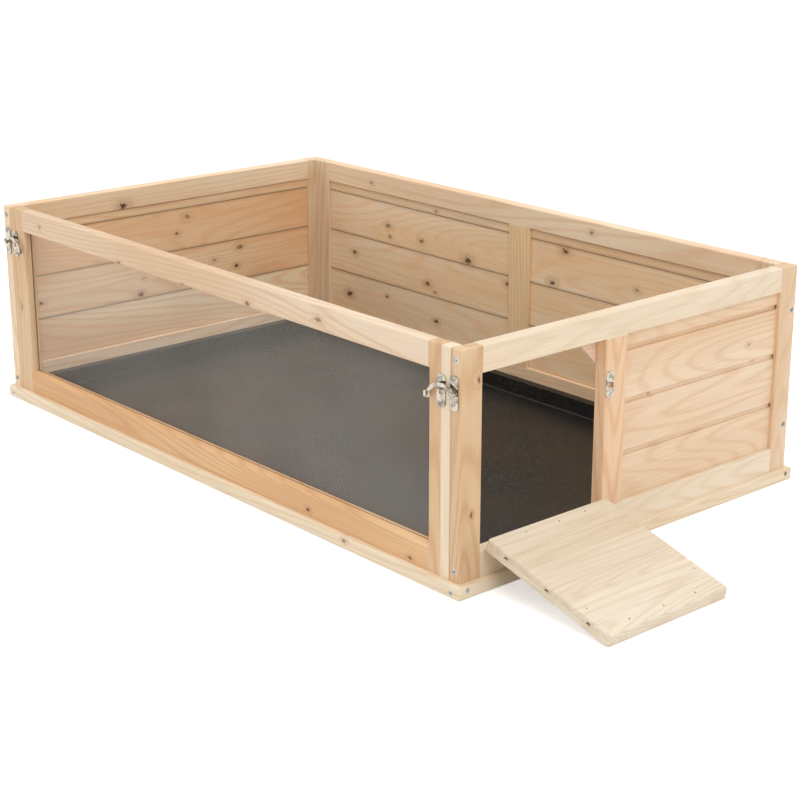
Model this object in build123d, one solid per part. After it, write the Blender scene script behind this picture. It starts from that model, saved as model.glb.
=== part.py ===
"""Indoor rabbit enclosure with a swing-down ramp, a lift-out window and a loose tray.

Millimetres. The origin is the middle of the base, on the ground. +X runs along the long
side to the right, +Y to the back and +Z up. The ramp is down, at the right-hand end.
"""
import math
import os

from build123d import *

# Base ring and floor
base_length = 1000.0
base_depth = 600.0
base_height = 17.0
base_rail_width = 28.0
base_arris = 3.0
floor_thickness = 4.0
floor_lift = 3.0
floor_groove_depth = 8.0
floor_batten_width = 60.0

# Walls and their framing timber
wall_setback = 7.0
wall_height = 275.0
stock = 18.0
rail_height = 32.0
post_width = 32.0
stile_width = 36.0
mid_stile_width = 43.0
mid_stile_shift = 5.0
arris = 2.5
edge_ease = 2.0

# Channel boards and the grooves that hold them
board_thickness = 8.0
board_setback = 6.0
board_pitch = 66.0
channel_height = 6.0
channel_depth = 3.5
lap = 3.0
lap_play = 0.3
top_channel_drop = 20.0
shoulder_round = 1.2
groove_depth = 9.0
groove_play = 0.2
end_play = 0.5
haunch = 6.0

# Doorway
doorway_width = 199.0
mid_post_width = 36.0
stop_leg = 48.0
stop_overlap = 8.0
stop_thickness = 6.0
stop_blunt = 4.0

# Front panel and its pane
panel_play = 0.5
lip_thickness = 11.0
lip_round = 4.0
pane_thickness = 2.0
pane_play = 0.2
pane_bite = 8.0
panel_tenon_setback = 3.0
panel_tenon_thickness = 6.0
panel_tenon_length = 20.0
dowel_diameter = 8.0
dowel_reach = 10.0
dowel_play = 0.6
dowel_spacing = 600.0

# Tray
tray_gap = 1.5
tray_rim_width = 12.5
tray_rim_top = 31.0
tray_wall = 2.0
tray_draft = 2.0
tray_corner = 14.0
tray_rim_corner = 6.0
tray_bottom_round = 5.0

# Door that lowers as the ramp
door_length = 198.0
door_width = 196.0
door_foot_gap = 2.0
batten_thickness = 7.0
door_batten_width = 30.0
door_corner = 4.0
door_arris = 2.5
board_end_setback = 0.8
stop_play = 0.3

# Hinges
hinge_offset = 3.0
knuckle_radius = 2.7
hinge_pin_radius = 1.25
hinge_bore_play = 0.15
hinge_width = 42.0
hinge_inset = 22.0
hinge_leaf_height = 18.0
hinge_leaf_thickness = 1.0
knuckle_play = 0.3
hinge_screw_drop = 11.0

# Swing-hook latches
plate_thickness = 1.2
plate_width = 13.0
plate_height = 40.0
plate_screw_spacing = 29.2
catch_width = 14.0
catch_height = 38.0
catch_screw_spacing = 30.2
door_catch_width = 12.0
door_catch_height = 32.0
door_catch_screw_spacing = 22.8
hook_lift = 4.2
hook_thickness = 1.6
hook_width = 4.5
hook_disc_radius = 4.5
hook_reach = 38.7
hook_drop = 8.0
hook_rise = 7.0
hook_play = 0.2
rivet_radius = 1.5
rivet_head_radius = 3.6
rivet_collar_radius = 3.2
rivet_head_height = 1.0
tip_roll_radius = 1.8
tip_roll_length = 7.0
tongue_width = 5.0
tongue_thickness = 1.0
tongue_bend = 2.0
catch_slot = 8.0
plate_round_share = 0.42
panel_tongue_reach = 3.8
door_tongue_reach = 5.0
latch_height = 241.0
catch_spacing = 21.0
catch_drop = 1.4
pivot_inset = 7.0
door_latch_height = 204.0
door_pivot_inset = 13.0

# Screws
frame_screw = (8.0, 3.6, 50.0)
wall_screw = (8.0, 3.6, 38.0)
base_screw = (7.0, 3.0, 26.0)
floor_screw = (8.0, 3.6, 30.0)
latch_screw = (6.0, 2.4, 13.0)
hinge_screw = (5.0, 2.4, 11.0)
screw_play = 0.1
screw_sink = 0.3
recess_share = 0.45
dome_share = 0.24
recess_width = 0.9
recess_depth = 1.1
frame_screw_drop = 13.0
rear_screw_drops = (58.0, 214.0)
base_screw_height = 6.5
base_cross_height = 10.5
end_foot_screws = (-200.0, 0.0, 200.0)
rear_foot_screws = (-350.0, 0.0, 350.0)

# Places worked out from the sizes above
wall_x = base_length / 2 - wall_setback
wall_y = base_depth / 2 - wall_setback
wall_bottom = base_height
wall_top = wall_bottom + wall_height
opening_bottom = wall_bottom + rail_height
opening_top = wall_top - rail_height
through = (0.0, stock)
end_reach = wall_y - post_width
side_reach = wall_x - stock
inner_y = wall_y - stock
floor_top = floor_lift + floor_thickness
board_w = (board_setback, board_setback + board_thickness)
groove_w = (board_setback, board_setback + board_thickness + groove_play)
doorway_u = (-end_reach, -end_reach + doorway_width)
mid_post_u = (doorway_u[1], doorway_u[1] + mid_post_width)
end_bay_u = (mid_post_u[1], end_reach)
rear_opening = side_reach - stile_width
mid_stile_u = (-mid_stile_shift - mid_stile_width / 2, -mid_stile_shift + mid_stile_width / 2)
panel_reach = side_reach - panel_play
window_reach = panel_reach - stile_width
hinge_x = wall_x + hinge_offset
hinge_z = opening_bottom + door_foot_gap / 2
door_foot = opening_bottom + door_foot_gap
door_top = door_foot + door_length
door_middle = sum(doorway_u) / 2
door_u = (door_middle - door_width / 2, door_middle + door_width / 2)
door_thickness = batten_thickness + board_thickness
door_reach = door_top - hinge_z
toe_radius = math.hypot(hinge_offset, door_reach)
open_angle = math.degrees(math.atan2(hinge_offset, door_reach) + math.acos(-hinge_z / toe_radius))
lean_room = stock - door_thickness - stop_play
lean_angle = math.degrees(math.asin(lean_room / door_reach))
stop_bottom = opening_top + stop_overlap - stop_leg
pivot_u = side_reach + pivot_inset
panel_catch_u = pivot_u - catch_spacing
door_pivot_u = door_u[1] - door_pivot_inset
door_catch_u = door_pivot_u + catch_spacing
hinge_middles = (door_u[0] + hinge_inset + hinge_width / 2, door_u[1] - hinge_inset - hinge_width / 2)
near = 0.01

# Where each wall's own frame lies: across the wall, into it from the outer face, and up
front_wall = Pos(0, -wall_y, 0)
rear_wall = Pos(0, wall_y, 0) * Rot(0, 0, 180)
right_wall = Pos(wall_x, 0, 0) * Rot(0, 0, 90)
left_wall = Pos(-wall_x, 0, 0) * Rot(0, 0, -90)
lowered = Pos(hinge_x, 0, hinge_z) * Rot(0, open_angle, 0) * Pos(-hinge_x, 0, -hinge_z)
door_place = lowered * right_wall


def write(name, *pieces):
    """Write one sub-part, as the group of its solids."""
    solids = [solid for piece in pieces for solid in piece.solids()]
    export_step(Compound(solids), f"parts/{name}.step")


def block(u, w, z):
    """Solid between pairs of limits: across, inwards and up."""
    middle = Pos(sum(u) / 2, sum(w) / 2, sum(z) / 2)
    return middle * Box(u[1] - u[0], w[1] - w[0], z[1] - z[0])


def chosen(solid, test):
    """Edges whose centre passes a test."""
    return solid.edges().filter_by(lambda edge: test(edge.center()))


def screw(size, play=0.0, rise=0.0):
    """Countersunk wood screw, head at the origin and point below; with play, its hole."""
    head, shank, length = size
    head_radius = head / 2 + play
    shank_radius = shank / 2 + play
    cone = (head - shank) / 2
    side = [(head_radius, 0), (shank_radius, -cone), (shank_radius, shank - length), (0, -length - play)]
    above = [(0, rise), (head_radius, rise)] if rise else [(0, 0)]
    return revolve(make_face(Plane.XZ * Polyline(*above, *side, close=True)), Axis.Z)


def crossed(size):
    """Wood screw with a cross recess in its head."""
    arm = size[0] * recess_share
    cut = Box(arm, recess_width, 2 * recess_depth) + Box(recess_width, arm, 2 * recess_depth)
    return screw(size) - cut


def at_face(point, outward):
    """Place for a screw: on a face at a point, its axis along the outward direction."""
    return Plane(origin=point, z_dir=outward).location


def driven(size, places):
    """Screws set just below the faces that they are driven through."""
    return [place * Pos(0, 0, -screw_sink) * crossed(size) for place in places]


def drilled(size, places):
    """Holes for the same screws, open to the face."""
    hole = screw(size, screw_play, screw_sink + screw_play)
    return [place * Pos(0, 0, -screw_sink) * hole for place in places]


# Framing timber


def opening_arris(u, z, radius):
    """Wood that rounding takes off the outer edge of an opening."""
    margin = 2 * radius
    outer = block((u[0] - margin, u[1] + margin), (0, margin), (z[0] - margin, z[1] + margin))
    frame = outer - block(u, (0, margin), z)

    def on_rim(centre):
        inside_u = u[0] - near < centre.X < u[1] + near
        inside_z = z[0] - near < centre.Z < z[1] + near
        return abs(centre.Y) < near and inside_u and inside_z

    return frame - fillet(chosen(frame, on_rim), radius)


def both_faces(cut):
    """The same cut on the outer and the inner face of a wall."""
    return [cut, mirror(cut, Plane(origin=(0, stock / 2, 0), z_dir=(0, 1, 0)))]


def tenon_z(z):
    """Height of a rail's tenon: past the groove on one side, haunched on the other."""
    if z[1] == wall_top:
        return (z[0] + groove_depth, z[1] - haunch)
    return (z[0] + haunch, z[1] - groove_depth)


def upright(u, joint_side, radius=arris):
    """Full-height post or stile, rounded on top and down the side away from its joint."""
    body = block(u, through, (wall_bottom, wall_top))

    def rounded(centre):
        return centre.Z > wall_bottom + near and abs(centre.X - joint_side) > near

    return fillet(chosen(body, rounded), radius)


def flush_upright(u):
    """Full-height stile between two neighbours, rounded on top alone."""
    body = block(u, through, (wall_bottom, wall_top))

    def rounded(centre):
        return centre.Z > wall_top - near and u[0] + near < centre.X < u[1] - near

    return fillet(chosen(body, rounded), arris)


def groove(u):
    """Board groove down an upright, stopped short of both ends."""
    return block(u, groove_w, (wall_bottom + haunch, wall_top - haunch))


def rail(u, z):
    """Rail between uprights, with a stub tenon at each end."""
    body = block(u, through, z)
    if z[1] == wall_top:
        middle = sum(u) / 2
        crest = chosen(body, lambda c: c.Z > wall_top - near and abs(c.X - middle) < near)
        body = fillet(crest, arris)
    tongue = groove_depth - end_play
    return body + block((u[0] - tongue, u[1] + tongue), board_w, tenon_z(z))


def rail_groove(u, z):
    """Board groove along the inner side of a rail."""
    span = (z[0], z[0] + groove_depth) if z[1] == wall_top else (z[1] - groove_depth, z[1])
    return block(u, groove_w, span)


def muntin(u):
    """Short upright between two rails, with a tenon at each end."""
    tongue = groove_depth - end_play
    body = block(u, through, (opening_bottom, opening_top))
    span = (opening_bottom - tongue, opening_top + tongue)
    return body + block((u[0] + haunch, u[1] - haunch), board_w, span)


top_z = (opening_top, wall_top)
bottom_z = (wall_bottom, opening_bottom)
opening_z = (opening_bottom, opening_top)
housed_z = (opening_bottom - groove_depth, opening_top + groove_depth)

# Channel boards


def board(u, bottom, top, lipped, tongued, setback=board_setback):
    """Board lying across, channelled on its outer face where it meets the next one."""
    seat = setback + channel_depth
    back = setback + board_thickness
    lip_top = bottom + lap + lap_play
    tongue_top = top + channel_height + lap
    foot = [(back, bottom), (setback, bottom)]
    if lipped:
        foot = [(back, lip_top), (seat - lap_play, lip_top), (seat - lap_play, bottom), (setback, bottom)]
    head = [(setback, top), (back, top)]
    if tongued:
        head = [(setback, top), (seat, top), (seat, tongue_top), (back, tongue_top)]
    face = make_face(Plane.YZ * Polyline(*foot, *head, close=True))
    body = Pos(u[0], 0, 0) * extrude(face, amount=u[1] - u[0], dir=(1, 0, 0))
    shoulders = []
    if lipped:
        shoulders.append(bottom)
    if tongued:
        shoulders.append(top)

    def on_shoulder(centre):
        return abs(centre.Y - setback) < near and any(abs(centre.Z - z) < near for z in shoulders)

    return fillet(chosen(body, on_shoulder), shoulder_round)


def boarding(u, z, highest_channel, setback=board_setback):
    """Boards from one height to another, with channels at the board pitch."""
    channels = []
    middle = highest_channel
    while middle > z[0] + channel_height:
        channels.append(middle)
        middle -= board_pitch
    tops = [z[1]] + [middle - channel_height / 2 for middle in channels]
    bottoms = [middle + channel_height / 2 for middle in channels] + [z[0]]
    boards = []
    for top, bottom in zip(tops, bottoms):
        boards.append(board(u, bottom, top, bottom != z[0], top != z[1], setback))
    return boards


def bay_boards(u):
    """Boards of one wall bay, housed in the grooves round it."""
    bite = groove_depth - end_play
    span = (u[0] - bite, u[1] + bite)
    return boarding(span, (opening_bottom - bite, opening_top + bite), opening_top - top_channel_drop)


# Base ring, floor and their screws


def ring_mitres():
    """Plan wedges that part the base ring at its corners: front, right, rear and left."""
    reach = base_depth / 2
    half_x = base_length / 2
    half_y = base_depth / 2
    front = [(-half_x, -half_y), (half_x, -half_y), (half_x - reach, 0), (reach - half_x, 0)]
    right = [(half_x, -half_y), (half_x, half_y), (half_x - reach, 0)]
    rear = [(px, -py) for px, py in front]
    left = [(-px, py) for px, py in right]
    wedges = {"front": front, "right": right, "rear": rear, "left": left}
    faces = {side: make_face(Polyline(*points, close=True)) for side, points in wedges.items()}
    return {side: extrude(face, amount=base_height, dir=(0, 0, 1)) for side, face in faces.items()}


def base_ring():
    """Whole base ring, rounded outside and grooved inside for the floor."""
    body = extrude(RectangleRounded(base_length, base_depth, base_arris), amount=base_height)
    body = fillet(body.edges().group_by(Axis.Z)[0] + body.edges().group_by(Axis.Z)[-1], base_arris * 0.9)
    hole_x = base_length - 2 * base_rail_width
    hole_y = base_depth - 2 * base_rail_width
    body -= Pos(0, 0, base_height / 2) * Box(hole_x, hole_y, base_height)
    slot_x = hole_x + 2 * floor_groove_depth
    slot_y = hole_y + 2 * floor_groove_depth
    return body - Pos(0, 0, floor_lift + floor_thickness / 2) * Box(slot_x, slot_y, floor_thickness)


def corner_screw_places():
    """Screws across the mitres, one from each face of every corner, at two heights."""
    half_rail = base_rail_width / 2
    places = []
    for sx in (-1, 1):
        for sy in (-1, 1):
            across = (sx * (base_length / 2 - half_rail), sy * base_depth / 2, base_screw_height)
            along = (sx * base_length / 2, sy * (base_depth / 2 - half_rail + 1), base_cross_height)
            places.append(at_face(across, (0, sy, 0)))
            places.append(at_face(along, (sx, 0, 0)))
    return places


def foot_screw_places():
    """Screws up through the base ring into the bottom rails."""
    line_x = wall_x - stock / 2
    line_y = wall_y - stock / 2
    spots = [(sx * line_x, y) for sx in (-1, 1) for y in end_foot_screws]
    spots += [(x, line_y) for x in rear_foot_screws]
    return [at_face((x, y, 0), (0, 0, -1)) for x, y in spots]


def dowel_spots():
    return [(sx * dowel_spacing / 2, stock / 2 - wall_y) for sx in (-1, 1)]


def dowels(play=0.0):
    """Locating dowels that stand in the front base rail."""
    low = base_height - dowel_reach
    length = 2 * dowel_reach + play
    pin = Cylinder(dowel_diameter / 2 + play, length, align=(Align.CENTER, Align.CENTER, Align.MIN))
    if not play:
        pin = chamfer(pin.edges().sort_by(Axis.Z)[-1], 1)
    return [Pos(x, y, low - play / 2) * pin for x, y in dowel_spots()]


def make_base():
    ring = base_ring() - drilled(base_screw, corner_screw_places())
    ring = ring - drilled(floor_screw, foot_screw_places()) - dowels(screw_play)
    for side, wedge in ring_mitres().items():
        write(f"base_rail_{side}", ring & wedge)
    write("base_screws", *driven(base_screw, corner_screw_places()), *driven(floor_screw, foot_screw_places()))
    edge_x = base_length / 2 - base_rail_width + floor_groove_depth - end_play
    edge_y = base_depth / 2 - base_rail_width + floor_groove_depth - end_play
    write("floor_panel", block((-edge_x, edge_x), (-edge_y, edge_y), (floor_lift, floor_top)))
    half = floor_batten_width / 2
    reach = base_depth / 2 - base_rail_width
    write("floor_batten", block((-half, half), (-reach, reach), (0, floor_lift)))
    write("panel_dowels", *dowels())


# End walls, rear wall and their screws


def frame_screw_places():
    """Screws through the front and rear edges of the corner posts into the end rails."""
    places = []
    for sx in (-1, 1):
        for sy in (-1, 1):
            for z in (wall_bottom + frame_screw_drop, wall_top - frame_screw_drop):
                places.append(at_face((sx * (wall_x - stock / 2), sy * wall_y, z), (0, sy, 0)))
    return places


def rear_screw_places():
    """Screws through the outer faces of the rear posts into the rear wall."""
    places = []
    for sx in (-1, 1):
        for drop in rear_screw_drops:
            places.append(at_face((sx * wall_x, wall_y - stock / 2, wall_top - drop), (sx, 0, 0)))
    return places


def finish_member(body, place):
    """Framing member in its wall, with every frame screw's hole."""
    holes = drilled(frame_screw, frame_screw_places()) + drilled(wall_screw, rear_screw_places())
    return (place * body) - holes - drilled(floor_screw, foot_screw_places())


def make_left_end():
    bay = (-end_reach, end_reach)
    cuts = both_faces(opening_arris(bay, opening_z, edge_ease))
    for name, side in (("front", 1), ("rear", -1)):
        u = tuple(sorted((side * end_reach, side * wall_y)))
        slot = tuple(sorted((side * end_reach, side * (end_reach + groove_depth))))
        body = upright(u, side * end_reach) - groove(slot) - cuts
        holes = [front_wall * hole for hole in plate_holes(-pivot_u, latch_height, plate_screw_spacing)]
        write(f"left_post_{name}", finish_member(body, left_wall) - holes)
    for name, z in (("top", top_z), ("bottom", bottom_z)):
        reach = end_reach + groove_depth
        body = rail(bay, z) - rail_groove((-reach, reach), z) - cuts
        write(f"left_rail_{name}", finish_member(body, left_wall))
    write("left_boards", *[left_wall * piece for piece in bay_boards(bay)])


def stop_block():
    """Triangular block in the doorway's top corner that the raised door leans on."""
    corner_u = doorway_u[1] + stop_overlap
    corner_z = opening_top + stop_overlap
    points = [
        (corner_u, corner_z),
        (corner_u - stop_leg + stop_blunt, corner_z),
        (corner_u - stop_leg + stop_blunt, corner_z - stop_blunt),
        (corner_u - stop_blunt, corner_z - stop_leg + stop_blunt),
        (corner_u, corner_z - stop_leg + stop_blunt),
    ]
    face = make_face(Plane.XZ.offset(-stock) * Polyline(*points, close=True))
    return extrude(face, amount=stop_thickness, dir=(0, 1, 0))


def make_right_end():
    doorway = both_faces(opening_arris(doorway_u, opening_z, edge_ease))
    bay = both_faces(opening_arris(end_bay_u, opening_z, edge_ease))
    cuts = doorway + bay
    bite = (end_reach, end_reach + groove_depth)
    front_bite = (-bite[1], -bite[0])
    rear = upright((end_reach, wall_y), end_reach) - groove(bite) - cuts
    write("right_post_rear", finish_member(rear, right_wall))
    front = upright((-wall_y, -end_reach), -end_reach) - cuts
    front = front - [block(front_bite, groove_w, tenon_z(z)) for z in (top_z, bottom_z)]
    holes = [front_wall * hole for hole in plate_holes(pivot_u, latch_height, plate_screw_spacing)]
    write("right_post_front", finish_member(front, right_wall) - holes)
    groove_u = (mid_post_u[0] + haunch, end_reach + groove_depth)
    for name, z in (("top", top_z), ("bottom", bottom_z)):
        body = rail((-end_reach, end_reach), z) - rail_groove(groove_u, z) - cuts
        if name == "bottom":
            body = body - drilled(hinge_screw, hinge_screw_places(-1))
        write(f"right_rail_{name}", finish_member(body, right_wall))
    post = muntin(mid_post_u) - cuts
    post = post - block((mid_post_u[1] - groove_depth, mid_post_u[1]), groove_w, housed_z)
    post = post - plate_holes(door_catch_u, door_latch_height, door_catch_screw_spacing)
    write("right_mid_post", right_wall * post)
    write("right_boards", *[right_wall * piece for piece in bay_boards(end_bay_u)])
    write("stop_block", right_wall * stop_block())


def make_rear_wall():
    """Rear wall between the rear posts: three uprights, two rails and two bays."""
    bays = ((-rear_opening, mid_stile_u[0]), (mid_stile_u[1], rear_opening))
    cuts = []
    for bay in bays:
        cuts += both_faces(opening_arris(bay, opening_z, edge_ease))
    for name, side in (("left", 1), ("right", -1)):
        u = tuple(sorted((side * rear_opening, side * side_reach)))
        slot = tuple(sorted((side * rear_opening, side * (rear_opening + groove_depth))))
        body = flush_upright(u) - groove(slot) - cuts
        write(f"rear_stile_{name}", finish_member(body, rear_wall))
    for name, z in (("top", top_z), ("bottom", bottom_z)):
        reach = rear_opening + groove_depth
        body = rail((-rear_opening, rear_opening), z) - rail_groove((-reach, reach), z) - cuts
        write(f"rear_rail_{name}", finish_member(body, rear_wall))
    middle = muntin(mid_stile_u) - cuts
    for edge, inward in ((mid_stile_u[0], 1), (mid_stile_u[1], -1)):
        middle = middle - block(tuple(sorted((edge, edge + inward * groove_depth))), groove_w, housed_z)
    write("rear_mid_stile", rear_wall * middle)
    for name, bay in zip(("right", "left"), bays):
        write(f"rear_{name}_boards", *[rear_wall * piece for piece in bay_boards(bay)])


# Front panel with its pane


def pane_groove():
    """Groove for the pane right round the window."""
    reach = window_reach + pane_bite + end_play
    bite = pane_bite + end_play
    depth = (lip_thickness, lip_thickness + pane_thickness + 2 * pane_play)
    return block((-reach, reach), depth, (opening_bottom - bite, opening_top + bite))


def panel_tenon_z(z):
    """Height of a panel rail's tenon, clear of the pane and the outer edge."""
    if z[1] == wall_top:
        return (z[0] + pane_bite + 2, z[1] - haunch)
    return (z[0] + haunch, z[1] - pane_bite - 2)


def make_front_panel():
    window = (-window_reach, window_reach)
    rim = opening_arris(window, opening_z, lip_round)
    back = both_faces(opening_arris(window, opening_z, edge_ease))[1]
    cuts = [rim, back, pane_groove()]
    tenon_w = (panel_tenon_setback, panel_tenon_setback + panel_tenon_thickness)
    tenon_reach = window_reach + panel_tenon_length
    for name, side in (("left", -1), ("right", 1)):
        u = tuple(sorted((side * window_reach, side * panel_reach)))
        body = upright(u, side * window_reach, edge_ease) - cuts
        for z in (top_z, bottom_z):
            deep = tuple(sorted((side * window_reach, side * (tenon_reach + end_play))))
            body = body - block(deep, tenon_w, panel_tenon_z(z))
        body = body - plate_holes(side * panel_catch_u, latch_height - catch_drop, catch_screw_spacing)
        write(f"front_stile_{name}", front_wall * body)
    for name, z in (("top", top_z), ("bottom", bottom_z)):
        body = block(window, through, z)
        if z == top_z:
            body = fillet(chosen(body, lambda c: c.Z > wall_top - near and abs(c.X) < near), edge_ease)
        body = body + block((-tenon_reach, tenon_reach), tenon_w, panel_tenon_z(z)) - cuts
        write(f"front_rail_{name}", front_wall * body - dowels(dowel_play))
    pane_w = (lip_thickness + pane_play, lip_thickness + pane_play + pane_thickness)
    pane_u = (-window_reach - pane_bite, window_reach + pane_bite)
    write("window_pane", front_wall * block(pane_u, pane_w, (opening_bottom - pane_bite, opening_top + pane_bite)))


# Tray


def tray_form(inset, bottom, top, corner, rounding):
    """Drafted tub shape between two heights, rounded round its bottom."""
    x = side_reach - tray_gap - tray_rim_width - inset
    y = inner_y - tray_gap - tray_rim_width - inset
    low = RectangleRounded(2 * (x - tray_draft), 2 * (y - tray_draft), corner)
    high = RectangleRounded(2 * x, 2 * y, corner)
    body = loft([Pos(0, 0, bottom) * low, Pos(0, 0, top) * high], ruled=True)
    return fillet(body.edges().group_by(Axis.Z)[0], rounding)


def make_tray():
    x = side_reach - tray_gap
    y = inner_y - tray_gap
    rim = extrude(RectangleRounded(2 * x, 2 * y, tray_rim_corner), amount=tray_wall)
    rim = fillet(rim.edges().group_by(Axis.Z)[-1], tray_wall / 2)
    rim = Pos(0, 0, tray_rim_top - tray_wall) * rim
    outside = tray_form(0, floor_top, tray_rim_top - tray_wall, tray_corner, tray_bottom_round)
    inside = tray_form(tray_wall, floor_top + tray_wall, tray_rim_top + tray_wall, tray_corner - tray_wall,
                       tray_bottom_round - tray_wall)
    write("tray", outside + rim - inside)


# Swing-hook latches, each made facing outwards on a wall's own frame


def dome_screw(size):
    """Small screw with a domed cross head, its seat at the origin."""
    head, shank, length = size
    neck = length - shank
    rise = head * dome_share
    side = Polyline((0, rise), (0, -length), (shank / 2, -neck), (shank / 2, 0), (head / 2, 0))
    crown = ThreePointArc((head / 2, 0), (head * 0.3, rise * 0.72), (0, rise))
    body = revolve(make_face(Plane.XZ * (side + crown)), Axis.Z)
    arm = head * recess_share
    cut = Box(arm, recess_width, recess_depth) + Box(recess_width, arm, recess_depth)
    return body - Pos(0, 0, rise) * cut


def plate_places(u, z, spacing):
    """Seats of the two screws of a plate."""
    return [at_face((u, -plate_thickness, z + side * spacing / 2), (0, -1, 0)) for side in (-1, 1)]


def plate_holes(u, z, spacing):
    """Holes for the screws of a plate in the wood behind it."""
    head, shank, length = latch_screw
    hole = Cylinder(shank / 2 + screw_play, length + screw_play, align=(Align.CENTER, Align.CENTER, Align.MAX))
    return [place * hole for place in plate_places(u, z, spacing)]


def plate_screws(u, z, spacing):
    return [place * dome_screw(latch_screw) for place in plate_places(u, z, spacing)]


def plate(width, height, spacing):
    """Round-ended plate lying on the outer face, bored for its two screws."""
    bore = Circle(latch_screw[1] / 2 + screw_play)
    outline = RectangleRounded(width, height, width * plate_round_share)
    outline = outline - Pos(0, spacing / 2) * bore - Pos(0, -spacing / 2) * bore
    return extrude(Plane.XZ * outline, amount=plate_thickness)


def rivet():
    """Pivot of a hook: shank through the plate, a collar under the hook and a head over it."""
    arm_top = hook_lift + hook_thickness + hook_play
    outline = Polyline(
        (0, 0),
        (rivet_radius, 0),
        (rivet_radius, plate_thickness),
        (rivet_collar_radius, plate_thickness),
        (rivet_collar_radius, hook_lift - hook_play),
        (rivet_radius, hook_lift - hook_play),
        (rivet_radius, arm_top),
        (rivet_head_radius, arm_top),
        (rivet_head_radius - rivet_head_height, arm_top + rivet_head_height),
        (0, arm_top + rivet_head_height),
        close=True,
    )
    return Plane.XZ.location * revolve(make_face(Plane.XZ * outline), Axis.Z)


def pivot_plate(u, z):
    """Plate and rivet that carry a hook."""
    bore = extrude(Plane.XZ * Circle(rivet_radius + screw_play), amount=plate_thickness)
    base = plate(plate_width, plate_height, plate_screw_spacing) - bore
    return [Pos(u, 0, z) * base, Pos(u, 0, z) * rivet()]


def hook(side):
    """Arched hook about its pivot at the origin, reaching to one side, with a rolled tip."""
    tip = (side * hook_reach, -hook_drop)
    arch = ThreePointArc((0, 0), (side * hook_reach / 2, hook_rise), tip)
    shape = SlotArc(arch, hook_width) + Circle(hook_disc_radius) + Pos(*tip) * Circle(hook_disc_radius)
    shape = shape - Circle(rivet_radius + hook_play)
    arm = extrude(Plane.XZ.offset(hook_lift) * shape, amount=hook_thickness)
    roll = Cylinder(tip_roll_radius, tip_roll_length)
    front = hook_lift + hook_thickness + tip_roll_radius / 2
    return arm + Pos(tip[0] + side * (hook_disc_radius - tip_roll_radius), -front, tip[1]) * roll


def tongue(reach):
    """Catch tongue: bent out of the plate by a quarter turn, then straight out."""
    centre = -plate_thickness / 2 - tongue_bend
    ring = Circle(tongue_bend + tongue_thickness / 2) - Circle(tongue_bend - tongue_thickness / 2)
    span = 2 * tongue_bend
    quarter = ring & Pos(span / 2, span / 2) * Rectangle(span, span)
    length = reach + centre
    straight = Pos(-length / 2, tongue_bend) * Rectangle(length, tongue_thickness)
    stub = Pos(tongue_bend, -tongue_thickness / 2) * Rectangle(tongue_thickness, tongue_thickness)
    face = Pos(centre, -catch_slot / 2) * (quarter + straight + stub)
    return extrude(Plane.YZ * face, amount=tongue_width / 2, both=True)


def catch(width, height, spacing, reach, turn):
    """Catch plate with a slot and the tongue that is bent out of it, turned about its middle."""
    slot = Box(tongue_width + 1, 3 * plate_thickness, catch_slot)
    body = plate(width, height, spacing)
    return body - Rot(0, turn, 0) * slot + Rot(0, turn, 0) * tongue(reach)


def make_latches():
    latch_screws = []
    catch_screws = []
    for name, side in (("left", -1), ("right", 1)):
        pivot = side * pivot_u
        catch_place = (side * panel_catch_u, latch_height - catch_drop)
        write(f"{name}_hook_plate", *[front_wall * piece for piece in pivot_plate(pivot, latch_height)])
        write(f"{name}_hook", front_wall * Pos(pivot, 0, latch_height) * hook(-side))
        keeper = catch(catch_width, catch_height, catch_screw_spacing, panel_tongue_reach, 180)
        write(f"{name}_catch", front_wall * Pos(catch_place[0], 0, catch_place[1]) * keeper)
        latch_screws += plate_screws(pivot, latch_height, plate_screw_spacing)
        catch_screws += plate_screws(*catch_place, catch_screw_spacing)
    write("latch_screws", *[front_wall * piece for piece in latch_screws])
    write("catch_screws", *[front_wall * piece for piece in catch_screws])
    keeper = catch(door_catch_width, door_catch_height, door_catch_screw_spacing, door_tongue_reach, -90)
    write("door_catch", right_wall * Pos(door_catch_u, 0, door_latch_height) * keeper)
    post_screws = plate_screws(door_catch_u, door_latch_height, door_catch_screw_spacing)
    write("door_catch_screws", *[right_wall * piece for piece in post_screws])


# Door that lowers as the ramp, with its hinges and hook


def door_form(setback=0.0):
    """Outer form of the door, rounded at its corners and round its walking face."""
    body = block((door_u[0] + setback, door_u[1] - setback), (0, door_thickness), (door_foot, door_top))
    body = fillet(body.edges().filter_by(Axis.Y), door_corner)
    return fillet(chosen(body, lambda c: c.Y > door_thickness - near), door_arris)


def door_battens():
    """Battens under the door: one down each side and one across between them at each end."""
    inner = (door_u[0] + door_batten_width, door_u[1] - door_batten_width)
    depth = (0, batten_thickness)
    whole = (door_foot, door_top)
    return {
        "door_batten_front": block((door_u[0], inner[0]), depth, whole),
        "door_batten_rear": block((inner[1], door_u[1]), depth, whole),
        "door_batten_foot": block(inner, depth, (door_foot, door_foot + door_batten_width)),
        "door_batten_tip": block(inner, depth, (door_top - door_batten_width, door_top)),
    }


def hinge_screw_places(side):
    """Screws of the hinge leaves above the pins, or below them."""
    height = hinge_z + side * hinge_screw_drop
    return [at_face((middle + spread * hinge_width * 0.3, -hinge_leaf_thickness, height), (0, -1, 0))
            for middle in hinge_middles for spread in (-1, 1)]


def knuckle_spans(side):
    """Knuckles along the pin: two outer ones below, one between them above."""
    third = hinge_width / 3
    half = hinge_width / 2
    if side < 0:
        return [(-half, -half + third), (half - third, half)]
    return [(-third / 2 + knuckle_play, third / 2 - knuckle_play)]


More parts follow.
